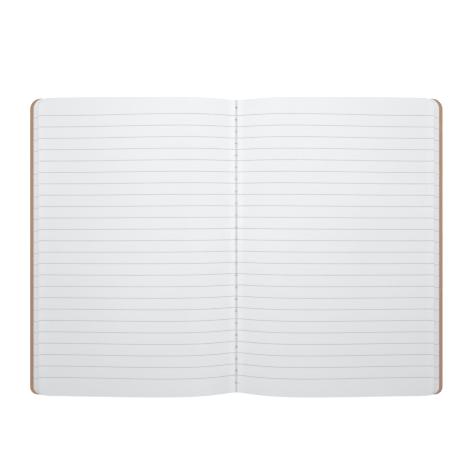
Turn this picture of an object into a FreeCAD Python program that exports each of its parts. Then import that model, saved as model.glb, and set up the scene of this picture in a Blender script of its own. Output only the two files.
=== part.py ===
import FreeCAD, Part
import math
import os

# An open notebook, sewn through the fold, lying face up on a table. One gathering of folded
# sheets is stitched through its fold to a cover of plain card. All sizes are in millimetres.
# +X runs over the right-hand page, +Y to the head of the page and +Z up. The origin is on the
# table under the fold, half way from head to tail.

# Sheets
leaf_height = 210.0       # head to tail, of the leaves and the cover alike
sheet_thickness = 0.09
sheet_count = 40
bundle_count = 10         # the leaves part into this many bundles where they fan out
creep = 4.6               # how much shorter the top leaf reaches than the lowest one
corner_radius = 6.5
lowest_leaf_gap = 0.25    # air between the cover and the lowest leaf, away from the fold
trim = 3.0                # sheets and card are folded this much too large, then trimmed

# How the leaves swell up between the fold and the fore-edge: the air that lies under the top
# leaf, at shares of its reach. The bundles touch before the first share and past the last.
swell = (
    (0.03, 1.9),
    (0.08, 5.7),
    (0.18, 10.9),
    (0.28, 12.8),
    (0.43, 12.1),
    (0.72, 6.0),
    (0.965, 0.5),
)
swell_rise = 1.4          # over 1, the upper leaves fan out more than the lower ones

# Cover
card_thickness = 0.4
cover_reach = 146.1       # fold to fore-edge
cover_overhang = 2.6      # how far the cover reaches past the lowest leaf
spine_half_width = 3.0
fold_gap = 0.1            # between the spine and each half of the cover
flat_reach = 20.0         # the cover lies flat on the table up to here
bend_reach = 70.0         # it has bent up to its full slope here, and runs straight on
cover_slope = 5.7         # degrees

# Sewing
stitch_length = 8.57
first_stitch = 5.9        # head to the first hole
last_stitch = 5.0         # the least distance from the last hole to the tail
hole_radius = 0.5
thread_radius = 0.25
thread_ease = 0.04        # between the thread and what it lies on
rod_sides = 8             # of the threads and needle holes, which are too fine to need more
crease_angle = 22.0       # degrees, of the spine where the sewing draws it up

# Worked out from the sizes above
paper = sheet_count * sheet_thickness
lowest_reach = cover_reach - cover_overhang
top_reach = lowest_reach - creep
half_height = leaf_height / 2
slope = math.tan(math.radians(cover_slope))
bend_radius = (bend_reach - flat_reach) / math.sin(math.radians(cover_slope))
bend_rise = bend_radius * (1 - math.cos(math.radians(cover_slope)))
hinge_x = spine_half_width + fold_gap
cover_lift = bend_rise + (cover_reach - bend_reach) * slope

crease_slope = math.tan(math.radians(crease_angle))
crease_lean = 1 / math.cos(math.radians(crease_angle))
crease_rise = thread_radius * (1 + crease_lean) + 2 * thread_ease
crease_half_width = crease_rise / crease_slope
fold_height = crease_rise + card_thickness

stitch_count = int((leaf_height - first_stitch - last_stitch) / stitch_length) + 1
stitch_places = [half_height - first_stitch - stitch_length * number for number in range(stitch_count)]


def point(x, z):
    return FreeCAD.Vector(x, 0, z)


def lines(corners):
    return [Part.makeLine(start, end) for start, end in zip(corners, corners[1:])]


def mirrored(edges):
    return [edge.mirror(FreeCAD.Vector(), FreeCAD.Vector(1, 0, 0)) for edge in edges]


def swept(edges, height):
    """The solid that a closed section in the XZ plane sweeps from tail to head."""
    section = Part.Face(Part.Wire(Part.__sortEdges__(edges)))
    section.translate(FreeCAD.Vector(0, -height / 2, 0))
    return section.extrude(FreeCAD.Vector(0, height, 0))


def trimmed(edges, reach):
    """The same, folded too large and trimmed to this reach with rounded corners."""
    return swept(edges, leaf_height + 2 * trim).common(rounded_plan(reach))


def rounded_plan(reach):
    """An upright block that reaches as far on each side of the fold, with rounded corners."""
    height = 2 * (cover_lift + paper + max(air for share, air in swell))
    corner = FreeCAD.Vector(-reach, -half_height, -height / 2)
    block = Part.makeBox(2 * reach, leaf_height, height, corner)
    upright = [edge for edge in block.Edges if edge.BoundBox.ZLength > height / 2]
    return block.makeFillet(corner_radius, upright)


# The cover's line

def card_height(x, above):
    """Height at x of the line that runs this far above the underside of the cover."""
    if x <= flat_reach:
        return above
    if x <= bend_reach:
        radius = bend_radius - above
        return bend_radius - math.sqrt(radius ** 2 - (x - flat_reach) ** 2)
    lean = math.cos(math.radians(cover_slope))
    return bend_rise + (x - bend_reach) * slope + above / lean


def card_edges(start, reach, above):
    """The same line as edges: flat on the table, bent up, and straight on to the fore-edge."""
    middle = (flat_reach + bend_reach) / 2
    flat_end = point(flat_reach, above)
    bend_middle = point(middle, card_height(middle, above))
    bend_end = point(bend_reach, card_height(bend_reach, above))
    fore_edge = point(reach, card_height(reach, above))
    bend = Part.Arc(flat_end, bend_middle, bend_end).toShape()
    return lines([start, flat_end]) + [bend] + lines([bend_end, fore_edge])


def cover():
    """The right half of the card, from its fold beside the spine to the fore-edge."""
    reach = cover_reach + trim
    underside = card_edges(point(hinge_x, 0), reach, 0)
    inside = card_edges(point(hinge_x, card_thickness), reach, card_thickness)
    fold = lines([point(hinge_x, 0), point(hinge_x, card_thickness)])
    edge = lines([point(reach, card_height(reach, above)) for above in (0, card_thickness)])
    return trimmed(underside + inside + fold + edge, cover_reach)


# The leaves

def leaf_base(x):
    """Height of the underside of the lowest leaf, which parts from the cover bit by bit."""
    parted = min(1, max(0, (x - spine_half_width) / (flat_reach - spine_half_width)))
    return card_height(x, card_thickness + parted * lowest_leaf_gap)


def leaf_height_at(x, air, paper_share, air_share):
    return leaf_base(x) + paper * paper_share + air * air_share


def fan(bundle):
    """Share of all the air that lies under this bundle."""
    return (bundle / (bundle_count - 1)) ** swell_rise


def leaf_edges(level, bundle):
    """One face of a bundle, from the fold to the fore-edge.

    The level counts the faces up from the bottom of the stack. The bundle is the one that the
    face belongs to, so the two faces of a gap have one level and two bundles.
    """
    paper_share = level / bundle_count
    stations = []
    for share, air in swell:
        air_share = fan(bundle)
        if share in (swell[0][0], swell[-1][0]):
            air_share = (fan(max(level - 1, 0)) + fan(min(level, bundle_count - 1))) / 2
        x = share * top_reach
        stations.append(point(x, leaf_height_at(x, air, paper_share, air_share)))
    fold = point(0, fold_height + paper * paper_share)
    untrimmed = lowest_reach + trim
    end = point(untrimmed, leaf_height_at(untrimmed, 0, paper_share, 0))
    arch = Part.BSplineCurve()
    arch.interpolate(stations)
    return lines([fold, stations[0]]) + [arch.toShape()] + lines([stations[-1], end])


def bundle_reach(bundle):
    return lowest_reach - creep * bundle / (bundle_count - 1)


def stack_underside():
    """The lowest leaf's underside: over the creased spine, off the cover and along it."""
    corners = [
        point(0, fold_height),
        point(crease_half_width, card_thickness),
        point(spine_half_width, card_thickness),
    ]
    above = card_thickness + lowest_leaf_gap
    return lines(corners) + card_edges(corners[-1], lowest_reach + trim, above)


def leaf_bundle(bundle):
    """Some folded sheets that lie close together, on both sides of the fold."""
    lower = leaf_edges(bundle, bundle) if bundle else stack_underside()
    upper = leaf_edges(bundle + 1, bundle)
    fore_edge = lines([lower[-1].Vertexes[-1].Point, upper[-1].Vertexes[-1].Point])
    right = lower + upper + fore_edge
    return trimmed(right + mirrored(right), bundle_reach(bundle))


def page_block():
    bundles = [leaf_bundle(bundle) for bundle in range(bundle_count)]
    block = bundles[0].multiFuse(bundles[1:]).removeSplitter()
    return block.cut(sewing_holes())


# The spine and the sewing

def rod(radius, start, end):
    """A fine many-sided rod from start to end, which run along Y or Z."""
    along = end - start
    corners = []
    for side in range(rod_sides):
        turn = FreeCAD.Rotation(along, 360 * (side + 0.5) / rod_sides)
        corners.append(start + turn.multVec(FreeCAD.Vector(radius, 0, 0)))
    return Part.Face(Part.makePolygon(corners + corners[:1])).extrude(along)


def sewing_holes():
    low = FreeCAD.Vector(0, 0, -fold_height)
    high = FreeCAD.Vector(0, 0, 2 * fold_height + paper)
    hole = rod(hole_radius, low, high)
    return Part.makeCompound([hole.translated(FreeCAD.Vector(0, y, 0)) for y in stitch_places])


def cover_spine():
    """The strip between the card's two folds, creased upward along its middle."""
    corners = [
        point(0, crease_rise),
        point(crease_half_width, 0),
        point(spine_half_width, 0),
        point(spine_half_width, card_thickness),
        point(crease_half_width, card_thickness),
        point(0, fold_height),
    ]
    right = lines(corners)
    return swept(right + mirrored(right), leaf_height).cut(sewing_holes())


def thread(run_height, lock_height):
    """A thread that runs along the fold and dips into each hole as far as the lock."""
    tail_end = FreeCAD.Vector(0, stitch_places[-1] - thread_radius, run_height)
    head_end = FreeCAD.Vector(0, stitch_places[0] + thread_radius, run_height)
    run = rod(thread_radius, tail_end, head_end)
    dip = rod(thread_radius, FreeCAD.Vector(0, 0, run_height), FreeCAD.Vector(0, 0, lock_height))
    dips = [dip.translated(FreeCAD.Vector(0, y, 0)) for y in stitch_places]
    return run.multiFuse(dips).removeSplitter()


def gutter_lean():
    """How much further a round thread lies above the gutter's bottom than in a flat."""
    share, air = swell[0]
    first_x = share * top_reach
    rise = leaf_height_at(first_x, air, 1, 1) - fold_height - paper
    return math.hypot(rise, first_x) / first_x


lock_height = fold_height + paper / 2
gutter_run = fold_height + paper + thread_radius * gutter_lean() + thread_ease
spine_run = crease_rise - thread_radius * crease_lean - thread_ease

back_cover = cover()
parts = {
    "page_block": page_block(),
    "cover_spine": cover_spine(),
    "back_cover": back_cover,
    "front_cover": back_cover.mirror(FreeCAD.Vector(), FreeCAD.Vector(1, 0, 0)),
    "needle_thread": thread(gutter_run, lock_height),
    "bobbin_thread": thread(spine_run, lock_height),
}

os.makedirs("parts", exist_ok=True)
for node, shape in parts.items():
    shape.exportStep("parts/" + node + ".step")
    print(node, "solids", len(shape.Solids), "volume", round(shape.Volume, 1))
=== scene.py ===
import math
import random

import bpy
import numpy as np
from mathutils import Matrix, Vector
from mathutils.bvhtree import BVHTree


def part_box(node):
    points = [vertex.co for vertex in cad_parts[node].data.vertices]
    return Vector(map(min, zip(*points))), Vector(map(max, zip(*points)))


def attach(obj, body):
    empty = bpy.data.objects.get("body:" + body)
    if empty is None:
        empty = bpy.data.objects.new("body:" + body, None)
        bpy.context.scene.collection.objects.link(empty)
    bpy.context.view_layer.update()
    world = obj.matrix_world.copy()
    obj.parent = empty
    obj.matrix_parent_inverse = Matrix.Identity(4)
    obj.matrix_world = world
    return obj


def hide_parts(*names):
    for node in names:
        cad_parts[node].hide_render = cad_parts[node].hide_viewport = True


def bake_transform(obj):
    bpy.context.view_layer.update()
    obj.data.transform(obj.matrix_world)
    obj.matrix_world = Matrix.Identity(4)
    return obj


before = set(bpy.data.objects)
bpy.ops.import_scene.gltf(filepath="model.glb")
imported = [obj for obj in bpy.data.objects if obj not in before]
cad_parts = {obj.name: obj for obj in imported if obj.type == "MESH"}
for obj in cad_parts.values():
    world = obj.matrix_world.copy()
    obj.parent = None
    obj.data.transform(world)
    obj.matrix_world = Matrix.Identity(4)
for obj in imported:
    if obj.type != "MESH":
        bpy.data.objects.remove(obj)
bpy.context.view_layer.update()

# The open, sewn notebook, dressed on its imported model. Lengths are in metres.
# +X runs over the right-hand page, +Y to the head of the page, +Z up.

MM = 0.001
rng = random.Random(7)


# Sizes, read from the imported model

block_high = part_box("page_block")[1]
cover_low, cover_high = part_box("back_cover")
spine_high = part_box("cover_spine")[1]

HALF_HEIGHT = block_high.y
LOWEST_REACH = block_high.x
COVER_REACH = cover_high.x
SPINE_REACH = spine_high.x

# Sizes of what only the scene shows

SHEETS = 40
CREEP = 4.6 * MM                 # the top leaf's reach is this much under the lowest one's
HEAD_CORNER = 7.8 * MM           # radius of the trimmed corners
TAIL_CORNER = 5.6 * MM
STITCH_LENGTH = 8.57 * MM
FIRST_STITCH = 5.9 * MM          # from the head of the page
STITCHES = 24
HOLE_RADIUS = 0.6 * MM
PUCKER_RADIUS = 1.0 * MM         # the paper is drawn down this far around a hole
PUCKER = 0.14 * MM               # how far down, at the rim of the hole
LINE_PITCH = 8.0 * MM
FIRST_LINE = 12.9 * MM           # from the head of the page
LINES = 24
LINE_WIDTH = 0.3 * MM
PRINT_SLIP = 1.1 * MM            # the lower leaves' ruling lies this much nearer the tail
PRINT_BOW = 0.011                # how much further apart the lines lie at the fold
PRINT_RISE = 0.45 * MM           # how much nearer the head they lie at the fold
PRINT_BOW_REACH = 100 * MM       # both fade out at this distance from the fold

stitch_places = HALF_HEIGHT - FIRST_STITCH - STITCH_LENGTH * np.arange(STITCHES)
between_stitches = stitch_places[:-1] - STITCH_LENGTH / 2


# Heights of the leaves and the cover, read from the solids

RAY_STEP = 0.5 * MM              # between the rays that read the heights
SMOOTHED_RAYS = 9                # each height is smoothed over this many of them
END_RAYS = 8                     # the last ones, which say how a leaf runs on
EDGE = 0.02 * MM                 # rays keep this far from an edge of the solid
LEAF_END = 0.1 * MM              # and this far from the end of a leaf


class Profile:
    """The heights of a solid's top and underside along X, from rays cast at it."""

    def __init__(self, node, start, end):
        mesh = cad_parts[node].data
        places = [vertex.co for vertex in mesh.vertices]
        faces = [polygon.vertices for polygon in mesh.polygons]
        self.tree = BVHTree.FromPolygons(places, faces)
        self.x = np.arange(start, end, RAY_STEP)
        self.top = self.cast(1)
        self.base = self.cast(-1)

    def cast(self, side):
        """Heights on one side of the solid, with the corners between its faces smoothed out."""
        y = between_stitches[len(between_stitches) // 2]
        hits = [self.tree.ray_cast(Vector((x, y, side)), Vector((0, 0, -side)))[0] for x in self.x]
        weights = np.hanning(SMOOTHED_RAYS + 2)[1:-1]
        heights = [hit.z for hit in hits]
        heights = np.pad(heights, SMOOTHED_RAYS // 2, "reflect", reflect_type="odd")
        return np.convolve(heights, weights / sum(weights), "valid")

    def height(self, x, heights):
        """The height at x, running straight on past the last place that was read."""
        x = np.abs(x)
        grade = (heights[-1] - heights[-END_RAYS]) / (self.x[-1] - self.x[-END_RAYS])
        return np.interp(x, self.x, heights) + np.maximum(0, x - self.x[-1]) * grade

    def top_height(self, x):
        return self.height(x, self.top)

    def base_height(self, x):
        return self.height(x, self.base)


top_leaf = Profile("page_block", EDGE, LOWEST_REACH - CREEP - LEAF_END)
lowest_leaf = Profile("page_block", EDGE, LOWEST_REACH - LEAF_END)
card = Profile("back_cover", cover_low.x + EDGE, COVER_REACH - EDGE)
PAPER = top_leaf.top[0] - top_leaf.base[0]     # all the sheets, pressed together at the fold


def leaf_z(x, paper_share, air_share):
    """The height at x of a level in the leaves, with these shares of paper and air under it."""
    base = lowest_leaf.base_height(x)
    air = np.maximum(0, top_leaf.top_height(x) - base - PAPER)
    return base + PAPER * paper_share + air * air_share


# Meshes

FOLD_ZONE = 6 * MM               # the columns lie evenly up to here, and then further apart
ARCH_COLUMNS = 30
ARCH_CROWDING = 1.35             # over 1, the columns crowd towards the fold
CORNER_COLUMNS = 10


def new_piece(name, vertices, faces, material, sharp_angle=40):
    """A smooth mesh, but for the edges where its faces meet more sharply than this, in degrees."""
    mesh = bpy.data.meshes.new(name)
    mesh.from_pydata([tuple(v) for v in vertices], [], [tuple(f) for f in faces])
    mesh.validate()
    piece = bpy.data.objects.new(name, mesh)
    bpy.context.scene.collection.objects.link(piece)
    mesh.materials.append(material)
    mesh.shade_smooth()
    mesh.set_sharp_from_angle(angle=math.radians(sharp_angle))
    return piece


def places_up(x, rows, reach):
    """Where rows from -1 at the tail to 1 at the head lie at x, on a plan with rounded corners."""
    plans = []
    for radius in (TAIL_CORNER, HEAD_CORNER):
        inset = max(0, abs(x) - (reach - radius))
        plans.append(HALF_HEIGHT - radius + math.sqrt(max(0, radius ** 2 - inset ** 2)))
    return rows * np.where(rows < 0, *plans)


def columns(start, reach, fold_step):
    """Places along X from start to the fore-edge, closer together at the fold and the corner."""
    fold = np.linspace(start, FOLD_ZONE, round((FOLD_ZONE - start) / fold_step), endpoint=False)
    corner_start = reach - HEAD_CORNER
    shares = np.linspace(0, 1, ARCH_COLUMNS, endpoint=False) ** ARCH_CROWDING
    arch = FOLD_ZONE + (corner_start - FOLD_ZONE) * shares
    corner = corner_start + HEAD_CORNER * np.sin(np.linspace(0, math.pi / 2, CORNER_COLUMNS))
    return np.concatenate([fold, arch, corner])


def outline(points):
    """The border of a grid of vertices, as one loop that is anticlockwise from above."""
    tail = [column[0] for column in points]
    head = [column[-1] for column in points]
    return tail + list(points[-1][1:-1]) + head[::-1] + list(points[0][-2:0:-1])


class Slabs:
    """Gathers the vertices and faces of thin slabs: sheets of paper or card."""

    def __init__(self):
        self.vertices = []
        self.faces = []
        self.printed = []
        self.tones = []
        self.slip = 0
        self.tone = 1

    def add_points(self, xs, ys, zs):
        """Vertices that know their place on the printed page, measured from its head."""
        first = len(self.vertices)
        for x, y, z in np.broadcast(xs, ys, zs):
            near = max(0, 1 - abs(x) / PRINT_BOW_REACH)
            unbowed = (y - PRINT_RISE * near) / (1 + PRINT_BOW * near)
            self.vertices.append((x, y, z))
            self.printed.append(HALF_HEIGHT - unbowed - self.slip)
            self.tones.append(self.tone)
        return np.arange(first, len(self.vertices))

    def add_face(self, corners, flip):
        self.faces.append(tuple(corners[::-1] if flip else corners))

    def grid(self, xs, reach, row_sets, heights, flip, left_out=None):
        """One side of a slab, with a column of vertices at each x. Each face takes in the extra
        vertices of a neighbour that has more rows. Returns the columns."""
        points = [self.add_points(x, places_up(x, rows, reach), z)
                  for x, rows, z in zip(xs, row_sets, heights)]
        for i in range(len(xs) - 1):
            fewer = min(row_sets[i], row_sets[i + 1], key=len)
            for low, high in zip(fewer, fewer[1:]):
                if left_out and left_out((xs[i] + xs[i + 1]) / 2, (low + high) / 2 * HALF_HEIGHT):
                    continue
                left, right = [column[(rows >= low) & (rows <= high)]
                               for column, rows in zip(points[i:i + 2], row_sets[i:i + 2])]
                self.add_face(list(right) + list(left[::-1]), flip)
        return points

    def band(self, first, second, flip=False):
        """Faces between two closed loops of as many vertices."""
        for a in range(len(first)):
            self.add_face([first[a - 1], first[a], second[a], second[a - 1]], flip)

    def piece(self, name, material):
        return new_piece(name, self.vertices, self.faces, material)

    def printed_piece(self, name, material):
        piece = self.piece(name, material)
        for attribute, values in (("print", self.printed), ("tone", self.tones)):
            layer = piece.data.attributes.new(attribute, "FLOAT", "POINT")
            layer.data.foreach_set("value", np.array(values, np.float32))
        return piece


# Materials

class Nodes:
    """Short ways to add and join shader nodes in one material."""

    def __init__(self, name):
        self.material = bpy.data.materials.new(name)
        self.material.use_nodes = True
        self.tree = self.material.node_tree
        self.shader = self.tree.nodes["Principled BSDF"]
        self.output = self.tree.nodes["Material Output"]

    def add(self, kind, **values):
        node = self.tree.nodes.new(kind)
        for name, value in values.items():
            setattr(node, name, value)
        return node

    def link(self, source, target):
        self.tree.links.new(source, target)

    def position(self, scale=(1, 1, 1)):
        place = self.add("ShaderNodeTexCoord")
        mapping = self.add("ShaderNodeMapping")
        mapping.inputs["Scale"].default_value = scale
        self.link(place.outputs["Object"], mapping.inputs["Vector"])
        return mapping.outputs["Vector"]

    def noise(self, vector, scale, detail=2.0, roughness=0.5):
        node = self.add("ShaderNodeTexNoise")
        node.inputs["Scale"].default_value = scale
        node.inputs["Detail"].default_value = detail
        node.inputs["Roughness"].default_value = roughness
        self.link(vector, node.inputs["Vector"])
        return node.outputs["Fac"]

    def put(self, value, socket):
        """Gives an input its value: a number, a colour or the output of another node."""
        if isinstance(value, (int, float)):
            socket.default_value = value
        elif isinstance(value, tuple):
            socket.default_value = (*value, 1)
        else:
            self.link(value, socket)

    def ramp(self, value, stops):
        """Greys that change with the value. Each stop is a value and how pale the grey is there."""
        node = self.add("ShaderNodeValToRGB")
        elements = node.color_ramp.elements
        while len(elements) < len(stops):
            elements.new(0.5)
        for element, (place, grey) in zip(elements, stops):
            element.position = place
            element.color = (grey, grey, grey, 1)
        self.link(value, node.inputs["Fac"])
        return node.outputs["Color"]

    def math(self, operation, *values):
        node = self.add("ShaderNodeMath", operation=operation)
        for value, socket in zip(values, node.inputs):
            self.put(value, socket)
        return node.outputs["Value"]

    def mix(self, amount, first, second, blend="MIX"):
        """Two colours mixed. The node has inputs for numbers too, so the colours are 6 and 7."""
        node = self.add("ShaderNodeMix", data_type="RGBA", blend_type=blend)
        for number, value in ((0, amount), (6, first), (7, second)):
            self.put(value, node.inputs[number])
        return node.outputs[2]

    def bump(self, height, distance, strength=1.0, before=None):
        node = self.add("ShaderNodeBump")
        node.inputs["Distance"].default_value = distance
        node.inputs["Strength"].default_value = strength
        self.link(height, node.inputs["Height"])
        if before is not None:
            self.link(before, node.inputs["Normal"])
        return node.outputs["Normal"]

    def spread(self, value, low, high):
        """The value, from 0 to 1, spread over low to high."""
        return self.between(value, 0, 1, low, high)

    def between(self, value, start, end, low, high):
        """Low where the value is under start, high past end, and a smooth change between."""
        node = self.add("ShaderNodeMapRange", interpolation_type="SMOOTHSTEP")
        for name, number in (("From Min", start), ("From Max", end), ("To Min", low), ("To Max", high)):
            node.inputs[name].default_value = number
        self.link(value, node.inputs["Value"])
        return node.outputs["Result"]

    def finish(self, colour, roughness, normal=None):
        self.link(colour, self.shader.inputs["Base Color"])
        self.link(roughness, self.shader.inputs["Roughness"])
        if normal is not None:
            self.link(normal, self.shader.inputs["Normal"])
        return self.material


PAPER_WHITE = (0.82, 0.836, 0.846)
PAPER_SHADE = (0.79, 0.804, 0.814)
INK = (0.34, 0.35, 0.36)


def paper_material():
    """Uncoated writing paper with fine grey ruling. The print attribute says where a point lies
    on the printed page, measured from the head, and tone shades each sheet a little."""
    nodes = Nodes("ruled_paper")
    place = nodes.position()
    cloud = nodes.noise(place, 18, detail=3)
    fibre = nodes.noise(place, 1500, detail=3, roughness=0.7)
    colour = nodes.mix(nodes.spread(cloud, 0.0, 1.0), PAPER_WHITE, PAPER_SHADE)
    grain = nodes.ramp(fibre, ((0.35, 0.96), (0.65, 1.0)))
    colour = nodes.mix(1.0, colour, grain, blend="MULTIPLY")
    tone = nodes.add("ShaderNodeAttribute", attribute_name="tone")
    shade = nodes.ramp(tone.outputs["Fac"], ((0.0, 0.90), (1.0, 1.0)))
    colour = nodes.mix(1.0, colour, shade, blend="MULTIPLY")

    across = nodes.add("ShaderNodeSeparateXYZ")
    nodes.link(place, across.inputs["Vector"])
    from_fold = nodes.math("ABSOLUTE", across.outputs["X"])
    share = nodes.math("DIVIDE", from_fold, LOWEST_REACH)
    # Painted light and shade: the paper is lightest within a few millimetres of the fold and darker
    # further out, darkest about a quarter of the way to the fore-edge, in place of light falling
    # brighter into the gutter.
    painted_gutter_light = nodes.ramp(share, ((0.03, 1.0), (0.25, 0.945), (1.0, 0.975)))
    # Painted shade: the paper darkens within about a millimetre of the fold, for the shade in the
    # crease.
    painted_crease_shade = nodes.between(from_fold, 0.3 * MM, 1.1 * MM, 0.74, 1.0)
    # Both marks are multiplied into the paper colour as painted shade.
    for painted_shade in (painted_gutter_light, painted_crease_shade):
        colour = nodes.mix(1.0, colour, painted_shade, blend="MULTIPLY")

    printed = nodes.add("ShaderNodeAttribute", attribute_name="print").outputs["Fac"]
    line = nodes.math("DIVIDE", nodes.math("SUBTRACT", printed, FIRST_LINE), LINE_PITCH)
    nearest = nodes.math("ROUND", line)
    off = nodes.math("ABSOLUTE", nodes.math("SUBTRACT", line, nearest))
    away = nodes.math("MULTIPLY", off, LINE_PITCH)
    edge = nodes.between(away, LINE_WIDTH * 0.35, LINE_WIDTH * 0.65, 1.0, 0.0)
    from_first = nodes.math("GREATER_THAN", line, -0.5)
    to_last = nodes.math("LESS_THAN", line, LINES - 0.5)
    ruled = nodes.math("MULTIPLY", nodes.math("MULTIPLY", edge, from_first), to_last)
    patchy = nodes.spread(nodes.noise(place, 900, detail=2), 0.7, 1.0)
    inked = nodes.spread(tone.outputs["Fac"], 0.55, 1.0)
    ruled = nodes.math("MULTIPLY", nodes.math("MULTIPLY", ruled, patchy), inked)
    colour = nodes.mix(ruled, colour, INK)

    roughness = nodes.spread(fibre, 0.82, 0.97)
    normal = nodes.bump(fibre, 0.03 * MM, 0.5)
    normal = nodes.bump(nodes.noise(place, 220, detail=2), 0.05 * MM, 0.25, normal)
    nodes.shader.inputs["Specular IOR Level"].default_value = 0.25
    return nodes.finish(colour, roughness, normal)


KRAFT = (0.44, 0.28, 0.195)
KRAFT_DARK = (0.345, 0.215, 0.145)
KRAFT_LIGHT = (0.54, 0.37, 0.27)
KRAFT_FLECK = (0.2, 0.115, 0.065)


def kraft_material():
    """Uncoated brown card, with long pale and dark fibres and small flecks."""
    nodes = Nodes("kraft_card")
    place = nodes.position()
    along = nodes.position((1, 0.22, 1))
    cloud = nodes.noise(place, 30, detail=4)
    fibre = nodes.noise(along, 900, detail=4, roughness=0.7)
    colour = nodes.mix(nodes.spread(cloud, 0.2, 0.8), KRAFT, KRAFT_DARK)
    pale = nodes.ramp(fibre, ((0.55, 0.0), (0.75, 1.0)))
    colour = nodes.mix(nodes.math("MULTIPLY", pale, 0.55), colour, KRAFT_LIGHT)
    dark = nodes.ramp(fibre, ((0.25, 1.0), (0.42, 0.0)))
    colour = nodes.mix(nodes.math("MULTIPLY", dark, 0.4), colour, KRAFT_DARK)
    fleck = nodes.add("ShaderNodeTexVoronoi", feature="F1")
    fleck.inputs["Scale"].default_value = 420
    nodes.link(along, fleck.inputs["Vector"])
    specks = nodes.ramp(fleck.outputs["Distance"], ((0.05, 1.0), (0.14, 0.0)))
    colour = nodes.mix(nodes.math("MULTIPLY", specks, 0.35), colour, KRAFT_FLECK)
    roughness = nodes.spread(fibre, 0.72, 0.92)
    normal = nodes.bump(fibre, 0.06 * MM, 0.6)
    normal = nodes.bump(nodes.noise(place, 160, detail=2), 0.08 * MM, 0.3, normal)
    nodes.shader.inputs["Specular IOR Level"].default_value = 0.3
    return nodes.finish(colour, roughness, normal)


THREAD_WHITE = (0.76, 0.77, 0.77)
THREAD_SHADE = (0.62, 0.63, 0.63)


def thread_material():
    """White spun thread."""
    nodes = Nodes("sewing_thread")
    place = nodes.position()
    lint = nodes.noise(place, 2600, detail=3, roughness=0.7)
    colour = nodes.mix(lint, THREAD_WHITE, THREAD_SHADE)
    roughness = nodes.spread(lint, 0.7, 0.95)
    normal = nodes.bump(lint, 0.03 * MM, 0.7)
    nodes.shader.inputs["Sheen Weight"].default_value = 0.3
    return nodes.finish(colour, roughness, normal)


paper = paper_material()
kraft = kraft_material()
thread_white = thread_material()


# Sheets of paper

SHEET_STEP = 0.6 * MM            # between the columns of a sheet near the fold
PAPER_FILL = 0.85                # how much of its share of the stack a sheet fills
AIR_RISE = 1.4                   # over 1, the upper sheets fan out more than the lower ones
AIR_WANDER = 0.55                # how unevenly they do, as a share of one sheet's place
SLIP_WANDER = 0.25 * MM          # how unevenly the ruling of the lower sheets lies
REACH_WANDER = 0.06 * MM         # how unevenly they are trimmed
WIDE_HOLES = 3                   # this many sheets under the top one clear its drawn-down holes
WIDE_HALF = 0.95 * PUCKER_RADIUS    # half the side of the square holes in them
PUCKER_CELL = 1.6 * PUCKER_RADIUS   # half the side of the square around a round hole
PUCKER_START = 0.3               # share of the pucker's depth at its outer ring


class Cells:
    """The squares around the stitch holes that a sheet's grid leaves out, and the rows and
    columns of the grid that border them."""

    def __init__(self, half, columns, rows, spare_rows):
        self.half = half
        self.across = np.linspace(-half, half, columns)
        borders = np.add.outer(stitch_places, np.linspace(-half, half, rows))
        self.rows = np.union1d((-1, 1), spare_rows / HALF_HEIGHT)
        self.fine_rows = np.union1d(self.rows, borders / HALF_HEIGHT)

    def left_out(self, x, y):
        return abs(x) < self.half and np.min(np.abs(stitch_places - y)) < self.half

    def row_set(self, x):
        return self.fine_rows if abs(x) <= self.half else self.rows

    def border(self, points, xs, y):
        """The loop of vertices around the square at y."""
        near = np.abs(self.fine_rows * HALF_HEIGHT - y) < self.half + EDGE
        return outline([column[near] for column, x in zip(points, xs) if abs(x) <= self.half])


def add_sheet(slabs, cells, reach, level, air_share):
    """A whole folded sheet, thin but solid. Returns the borders of the squares left out around
    the holes, on its top and on its underside."""
    right = columns(cells.half, reach, SHEET_STEP)
    xs = np.concatenate([-right[::-1], cells.across[1:-1], right])
    row_sets = [cells.row_set(x) for x in xs]
    sides = []
    for share, flip in ((level + PAPER_FILL, False), (level, True)):
        heights = leaf_z(xs, share / SHEETS, air_share)
        sides.append(slabs.grid(xs, reach, row_sets, heights, flip, cells.left_out))
    upper, lower = sides
    slabs.band(outline(lower), outline(upper))
    return [[cells.border(points, xs, y) for y in stitch_places] for points in sides]


def air_shares():
    """Share of all the air that lies under each sheet. It grows unevenly from sheet to sheet."""
    shares = []
    for number in range(SHEETS):
        wander = AIR_WANDER * (rng.random() - 0.5)
        shares.append(min(1, max(0, (number + wander) / (SHEETS - 1))) ** AIR_RISE)
    shares[0] = 0
    return shares


def lower_leaves():
    """All the sheets but the top one, with square holes, which the top one hides."""
    slabs = Slabs()
    spare_rows = between_stitches[5::6]
    narrow, wide = [Cells(half, 3, 2, spare_rows) for half in (HOLE_RADIUS, WIDE_HALF)]
    for number, air_share in enumerate(air_shares()[:-1]):
        cells = wide if number >= SHEETS - 1 - WIDE_HOLES else narrow
        slabs.slip = PRINT_SLIP + rng.uniform(-SLIP_WANDER, SLIP_WANDER)
        slabs.tone = rng.random()
        trimmed = rng.uniform(-REACH_WANDER, REACH_WANDER)
        reach = LOWEST_REACH - CREEP * number / (SHEETS - 1) + trimmed
        upper, lower = add_sheet(slabs, cells, reach, number, air_share)
        for top, bottom in zip(upper, lower):
            slabs.band(bottom, top, flip=True)
    return slabs.printed_piece("lower_leaves", paper)


def add_ring(slabs, count, y, radius, sink, share):
    """A loop of vertices around a hole, on the paper but sunk a little. It starts towards the
    left and the tail, as the square around it does."""
    angles = 2 * math.pi * np.arange(count) / count - 0.75 * math.pi
    xs = radius * np.cos(angles)
    return slabs.add_points(xs, y + radius * np.sin(angles), leaf_z(xs, share, 1) - sink)


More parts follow.
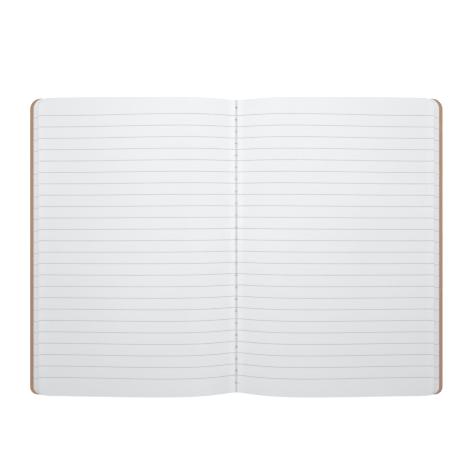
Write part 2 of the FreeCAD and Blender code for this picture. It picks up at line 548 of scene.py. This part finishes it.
def centre_spread():
    """The top sheet, with a round hole at each stitch and the paper drawn down into it."""
    slabs = Slabs()
    cells = Cells(PUCKER_CELL, 5, 5, between_stitches)
    level = SHEETS - 1
    upper, lower = add_sheet(slabs, cells, LOWEST_REACH - CREEP, level, 1)
    for y, top, bottom in zip(stitch_places, upper, lower):
        rims = []
        for border, share, flip in ((top, level + PAPER_FILL, False), (bottom, level, True)):
            sink = PUCKER_START * PUCKER
            pucker = add_ring(slabs, len(border), y, PUCKER_RADIUS, sink, share / SHEETS)
            rim = add_ring(slabs, len(border), y, HOLE_RADIUS, PUCKER, share / SHEETS)
            slabs.band(border, pucker, flip)
            slabs.band(pucker, rim, flip)
            rims.append(rim)
        slabs.band(rims[1], rims[0], flip=True)
    return slabs.printed_piece("centre_spread", paper)


for leaves in (lower_leaves(), centre_spread()):
    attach(leaves, "pages")
    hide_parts("page_block")


# Cover

CARD_STEP = 0.15 * MM            # between the columns of the card where it folds
CARD_ROWS = 5


def add_half_cover(node, side):
    """One half of the card. It stays whole where it folds beside the spine."""
    slabs = Slabs()
    xs = np.sort(side * columns(SPINE_REACH, COVER_REACH, CARD_STEP))
    row_sets = [np.linspace(-1, 1, CARD_ROWS)] * len(xs)
    upper = slabs.grid(xs, COVER_REACH, row_sets, card.top_height(xs), False)
    lower = slabs.grid(xs, COVER_REACH, row_sets, card.base_height(xs), True)
    slabs.band(outline(lower), outline(upper))
    piece = slabs.piece(node + "_card", kraft)
    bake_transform(piece)
    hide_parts(node)


add_half_cover("front_cover", -1)
add_half_cover("back_cover", 1)
spine_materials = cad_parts["cover_spine"].data.materials
spine_materials.clear()
spine_materials.append(kraft)


# Sewing thread

STRANDS = 3
STRAND_SIDES = 6
STRAND_SHARP = 75                # degrees, above what lies between two sides, so they look round
STRAND_RADIUS = 0.115 * MM
STRAND_OFFSET = 0.13 * MM        # from the middle of the thread to the middle of a strand
TWIST_LENGTH = 1.5 * MM
THREAD_STEP = 0.14 * MM
LEG_OFFSET = 0.27 * MM           # from the middle of a hole to each leg of the loop in it
SHOULDER = 0.3 * MM              # radius of the bend over the edge of a hole
BEND_POINTS = 7                  # in each bend of a thread's path
LOOSE_START = 0.75 * MM          # the loose end lies on the page from here to its cut
LOOSE_CUT = 2.3 * MM
LOOSE_LEAN = 0.1                 # how far it heads for the tail, as a share of its run


def evenly(path):
    """The same path with its points a thread step apart."""
    path = np.array(path)
    lengths = np.linalg.norm(np.diff(path, axis=0), axis=1)
    along = np.concatenate([[0], np.cumsum(lengths)])
    places = np.arange(0, along[-1], THREAD_STEP)
    return np.stack([np.interp(places, along, path[:, axis]) for axis in range(3)], axis=1)


def sewn_path(run, lock):
    """Along the fold from the first hole to the last, turning into each one as far as the lock."""
    depth = abs(lock - run) - STRAND_OFFSET - STRAND_RADIUS
    bends = np.linspace(0, math.pi / 2, BEND_POINTS)
    over_edge = LEG_OFFSET + SHOULDER * (1 - np.sin(bends))
    around_lock = LEG_OFFSET * np.cos(bends)
    offsets = np.concatenate([over_edge, around_lock])
    down_edge = SHOULDER * (1 - np.cos(bends))
    down_to_lock = depth - LEG_OFFSET * (1 - np.sin(bends))
    depths = np.concatenate([down_edge, down_to_lock])
    heights = run + math.copysign(1, lock - run) * depths
    path = []
    for y in stitch_places:
        path += [(0, y + offset, z) for offset, z in zip(offsets, heights)]
        path += [(0, y - offset, z) for offset, z in zip(offsets[-2::-1], heights[-2::-1])]
    half = len(offsets) - 1
    return evenly(path[half:-half])


def loose_end_path(run):
    """The cut end of the thread, out of the last hole and a little way over the right-hand page."""
    y = stitch_places[-1] - LEG_OFFSET / 2
    inside = [
        (0.15 * MM, y, run - 1.1 * MM),
        (0.2 * MM, y, run - 0.35 * MM),
        (0.4 * MM, y, run + 0.02 * MM),
    ]
    clear = STRAND_OFFSET + STRAND_RADIUS
    on_page = []
    for x in np.linspace(LOOSE_START, LOOSE_CUT, 8):
        on_page.append((x, y - LOOSE_LEAN * (x - LOOSE_START), top_leaf.top_height(x) + clear))
    return evenly(inside + on_page)


def add_thread(name, node, path, across):
    """Strands twisted around a path that lies in the plane square to across."""
    across = np.array(across, float)
    ahead = np.gradient(path, axis=0)
    ahead /= np.linalg.norm(ahead, axis=1)[:, None]
    outward = np.cross(ahead, across)
    twist = 2 * math.pi * THREAD_STEP / TWIST_LENGTH * np.arange(len(path))
    vertices = []
    faces = []
    for strand in range(STRANDS):
        turns = (twist + 2 * math.pi * strand / STRANDS)[:, None]
        middle = path + STRAND_OFFSET * (np.cos(turns) * across + np.sin(turns) * outward)
        rings = []
        for side in range(STRAND_SIDES):
            angle = 2 * math.pi * side / STRAND_SIDES
            first = len(vertices)
            out = math.cos(angle) * across + math.sin(angle) * outward
            vertices.extend(middle + STRAND_RADIUS * out)
            rings.append(np.arange(first, len(vertices)))
        for side, line in enumerate(rings):
            before = rings[side - 1]
            faces.extend(zip(before, line, line[1:], before[1:]))
        faces.append([line[0] for line in rings[::-1]])
        faces.append([line[-1] for line in rings])
    thread = new_piece(name, vertices, faces, thread_white, STRAND_SHARP)
    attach(thread, "pages")
    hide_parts(node)


needle_low, needle_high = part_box("needle_thread")
bobbin_low, bobbin_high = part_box("bobbin_thread")
needle_run = needle_high.z - needle_high.x
bobbin_run = bobbin_low.z + bobbin_high.x
add_thread("needle_twist", "needle_thread", sewn_path(needle_run, needle_low.z), (1, 0, 0))
add_thread("bobbin_twist", "bobbin_thread", sewn_path(bobbin_run, bobbin_high.z), (1, 0, 0))
add_thread("loose_end", "needle_thread", loose_end_path(needle_run), (0, 1, 0))


# Floor, light and camera

CAMERA_PLACE = (-0.00025, 0.0180, 0.4746)
IMAGE_WIDTH = 472                # pixels
NADIR_ABOVE_CENTRE = 15          # pixels from the picture's centre to the point under the camera
LAMP_PLACE = (0, 0.10, 0.50)
LAMP_SIZE = 0.25
LAMP_POWER = 2.19
FILL_LIGHT = 0.29
FLOOR_GLOW = 0.65
TABLE_WHITE = (0.90, 0.90, 0.90)
TABLE_SHADE = (0.88, 0.88, 0.88)
FLOOR_HALF = 3.0
FLOOR_DROP = 0.02 * MM           # keeps the table top just clear of the cover


def seen_rays(tree):
    """1 for what the camera sees, straight or in a reflection, and 0 for light on other things."""
    path = tree.nodes.new("ShaderNodeLightPath")
    seen = path.outputs["Is Camera Ray"]
    for kind in ("Is Glossy Ray", "Is Transmission Ray"):
        either = tree.nodes.new("ShaderNodeMath")
        either.operation = "ADD"
        tree.links.new(seen, either.inputs[0])
        tree.links.new(path.outputs[kind], either.inputs[1])
        seen = either.outputs["Value"]
    return seen


def floor_material():
    """A near-white table: to the camera it is bright enough to be white where nothing shades it."""
    nodes = Nodes("white_table")
    place = nodes.position()
    colour = nodes.mix(nodes.noise(place, 3), TABLE_WHITE, TABLE_SHADE)
    nodes.link(colour, nodes.shader.inputs["Base Color"])
    nodes.shader.inputs["Roughness"].default_value = 0.9
    nodes.shader.inputs["Specular IOR Level"].default_value = 0.1
    glow = nodes.add("ShaderNodeEmission")
    glow.inputs["Strength"].default_value = FLOOR_GLOW
    both = nodes.add("ShaderNodeAddShader")
    nodes.link(nodes.shader.outputs["BSDF"], both.inputs[0])
    nodes.link(glow.outputs["Emission"], both.inputs[1])
    mixed = nodes.add("ShaderNodeMixShader")
    nodes.link(seen_rays(nodes.tree), mixed.inputs["Fac"])
    nodes.link(nodes.shader.outputs["BSDF"], mixed.inputs[1])
    nodes.link(both.outputs["Shader"], mixed.inputs[2])
    nodes.link(mixed.outputs["Shader"], nodes.output.inputs["Surface"])
    return nodes.material


def add_floor():
    corners = [(FLOOR_HALF * x, FLOOR_HALF * y, 0) for x, y in ((-1, -1), (1, -1), (1, 1), (-1, 1))]
    floor = new_piece("table_top", corners, [(0, 1, 2, 3)], floor_material())
    floor.location.z = -FLOOR_DROP


def add_lamp():
    """A square soft box above the head of the pages, shining straight down."""
    lamp = bpy.data.lights.new("soft_box", "AREA")
    lamp.shape = "SQUARE"
    lamp.size = LAMP_SIZE
    lamp.energy = LAMP_POWER
    holder = bpy.data.objects.new("soft_box", lamp)
    bpy.context.scene.collection.objects.link(holder)
    holder.location = LAMP_PLACE


def add_world():
    """A white backdrop for what the camera sees, and a dimmer fill for what it lights."""
    world = bpy.data.worlds.new("studio")
    bpy.context.scene.world = world
    world.use_nodes = True
    tree = world.node_tree
    fill = tree.nodes["Background"]
    fill.inputs["Color"].default_value = (1, 1, 1, 1)
    fill.inputs["Strength"].default_value = FILL_LIGHT
    backdrop = tree.nodes.new("ShaderNodeBackground")
    backdrop.inputs["Color"].default_value = (1, 1, 1, 1)
    backdrop.inputs["Strength"].default_value = 1.0
    mixed = tree.nodes.new("ShaderNodeMixShader")
    tree.links.new(seen_rays(tree), mixed.inputs["Fac"])
    tree.links.new(fill.outputs["Background"], mixed.inputs[1])
    tree.links.new(backdrop.outputs["Background"], mixed.inputs[2])
    tree.links.new(mixed.outputs["Shader"], tree.nodes["World Output"].inputs["Surface"])


def add_camera():
    """A camera that looks straight down, shifted as if the picture were cut from a larger one."""
    camera = bpy.data.cameras.new("camera")
    camera.lens = 50
    camera.sensor_width = 36
    camera.shift_y = -NADIR_ABOVE_CENTRE / IMAGE_WIDTH
    camera.clip_start = 0.01
    holder = bpy.data.objects.new("camera", camera)
    bpy.context.scene.collection.objects.link(holder)
    holder.location = CAMERA_PLACE
    bpy.context.scene.camera = holder


add_floor()
add_lamp()
add_world()
add_camera()

bpy.context.scene.view_settings.view_transform = "Standard"
